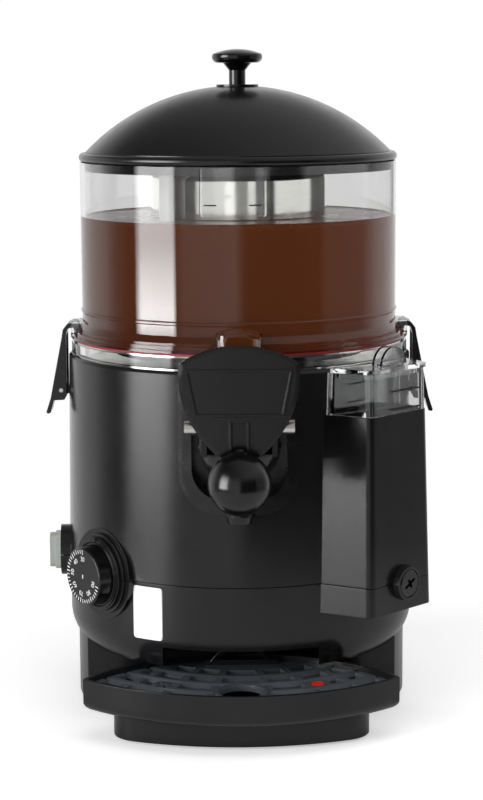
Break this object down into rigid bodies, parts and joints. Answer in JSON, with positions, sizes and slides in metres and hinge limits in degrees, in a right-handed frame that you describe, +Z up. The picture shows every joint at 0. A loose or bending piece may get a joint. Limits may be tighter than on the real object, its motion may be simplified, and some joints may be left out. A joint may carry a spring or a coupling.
{
  "type": "hot chocolate dispenser",
  "caption": "Counter-top hot chocolate dispenser: clear round bowl with steel heating column and stirrer, domed lid, front lever tap, side water tank and slotted drip tray.",
  "frame": {"origin": "middle of the machine's whole footprint, on the surface it stands on", "axes": "+Z up, the tap faces -Y, +X to the viewer's right"},
  "size_m": [0.281, 0.3251, 0.4679],
  "materials": {
    "black_shell": "fine moulded grain, satin",
    "black_gloss": "semi-gloss",
    "clear_plastic": "clear polycarbonate",
    "steel_sheet": "brushed",
    "steel_pin": "polished",
    "zinc": "zinc plated",
    "motor_metal": "cast and painted",
    "heater_metal": "heat-stained",
    "red_silicone": "matte silicone",
    "white_silicone": "matte silicone",
    "foot_rubber": "matte",
    "white_plastic": "moulded",
    "drink": "liquid chocolate",
    "boot_clear": "translucent boot",
    "lamp_green": "translucent lit rocker",
    "float_red": "moulded"
  },
  "bodies": {
    "housing": {"lower_housing": "black_shell", "upper_housing": "black_shell", "tap_recess_insert": "black_shell", "dial_bezel": "black_shell", "cord_gland": "black_shell", "switch_body": "black_shell", "latch_brackets": "black_shell", "drain_collar": "black_shell", "tap_body": "black_gloss", "thermal_cutout": "black_gloss", "container": "clear_plastic", "base_ring": "clear_plastic", "tank_window": "clear_plastic", "base_plate": "steel_sheet", "bath_pan": "steel_sheet", "heating_column": "steel_sheet", "motor_bracket": "steel_sheet", "tap_pin": "steel_pin", "latch_pins": "steel_pin", "base_screws": "zinc", "gear_motor": "motor_metal", "heater_ring": "heater_metal", "bath_gasket": "red_silicone", "shaft_seal": "red_silicone", "outlet_seal": "red_silicone", "drain_seal": "red_silicone", "feed_pipe": "white_silicone", "drain_pipe": "white_silicone", "rubber_feet": "foot_rubber", "terminal_block": "white_plastic", "thermostat": "white_plastic", "chocolate_fill": "drink", "switch_boot": "boot_clear"},
    "drive": {"drive_shaft": "steel_pin", "stirrer": "white_plastic"},
    "lid": {"lid": "black_gloss", "lid_knob": "black_gloss", "knob_screw": "zinc"},
    "lever": {"tap_lever": "black_gloss", "ball_knob": "black_gloss"},
    "plunger": {"piston": "white_plastic", "piston_seal": "red_silicone", "piston_spring": "steel_pin"},
    "latch_l": {"latch_left": "black_gloss"},
    "latch_r": {"latch_right": "black_gloss"},
    "dial": {"dial": "black_gloss", "dial_spindle": "steel_pin"},
    "power_switch": {"switch_rocker": "lamp_green"},
    "tank_cover": {"tank_lid": "clear_plastic"},
    "drain": {"drain_plug": "black_gloss"},
    "tray": {"drip_tray": "black_shell"},
    "grille": {"tray_grille": "black_gloss", "grille_tab": "black_gloss"},
    "float": {"tray_float": "float_red"}
  },
  "joints": [
    {"name": "stirrer_turn", "type": "hinge", "parent": "housing", "child": "drive", "pos_m": [0, 0.03935, 0.2], "axis": [0, 0, 1], "continuous": true},
    {"name": "lid_lift", "type": "slide", "parent": "housing", "child": "lid", "axis": [0, 0, 1], "range_m": [0, 0.15]},
    {"name": "tap_lever_pull", "type": "hinge", "parent": "housing", "child": "lever", "pos_m": [0, -0.11925, 0.222], "axis": [-1, 0, 0], "range_deg": [0, 20], "stiffness_Nm_per_rad": 0.9, "springref_deg": -20.05},
    {"name": "piston_slide", "type": "slide", "parent": "housing", "child": "plunger", "axis": [0, 0, -1], "range_m": [0, 0.005], "deforming": ["piston_spring"]},
    {"name": "latch_left_swing", "type": "hinge", "parent": "housing", "child": "latch_l", "pos_m": [-0.1294, 0.03935, 0.2244], "axis": [0, -1, 0], "range_deg": [0, 18]},
    {"name": "latch_right_swing", "type": "hinge", "parent": "housing", "child": "latch_r", "pos_m": [0.1294, 0.03935, 0.2244], "axis": [0, 1, 0], "range_deg": [0, 18]},
    {"name": "dial_turn", "type": "hinge", "parent": "housing", "child": "dial", "pos_m": [-0.1006, -0.04299, 0.105], "axis": [0.7738, 0.6334, 0], "range_deg": [0, 270]},
    {"name": "switch_press", "type": "hinge", "parent": "housing", "child": "power_switch", "pos_m": [-0.12792, 0.03488, 0.105], "axis": [-0.0349, 0.9994, 0], "range_deg": [0, 12]},
    {"name": "tank_cover_lift", "type": "slide", "parent": "housing", "child": "tank_cover", "axis": [0, 0, 1], "range_m": [0, 0.06]},
    {"name": "drain_plug_out", "type": "slide", "parent": "housing", "child": "drain", "axis": [0.7169, -0.6972, 0], "range_m": [0, 0.03]},
    {"name": "tray_slide", "type": "slide", "parent": "housing", "child": "tray", "axis": [0, -1, 0], "range_m": [0, 0.15]},
    {"name": "grille_lift", "type": "slide", "parent": "tray", "child": "grille", "axis": [0, 0, 1], "range_m": [0, 0.004]},
    {"name": "float_rise", "type": "slide", "parent": "tray", "child": "float", "axis": [0, 0, 1], "range_m": [0, 0.006]}
  ],
  "couplings": [
    {"joint": "piston_slide", "follows": "tap_lever_pull", "m_per_rad": 0.014}
  ]
}
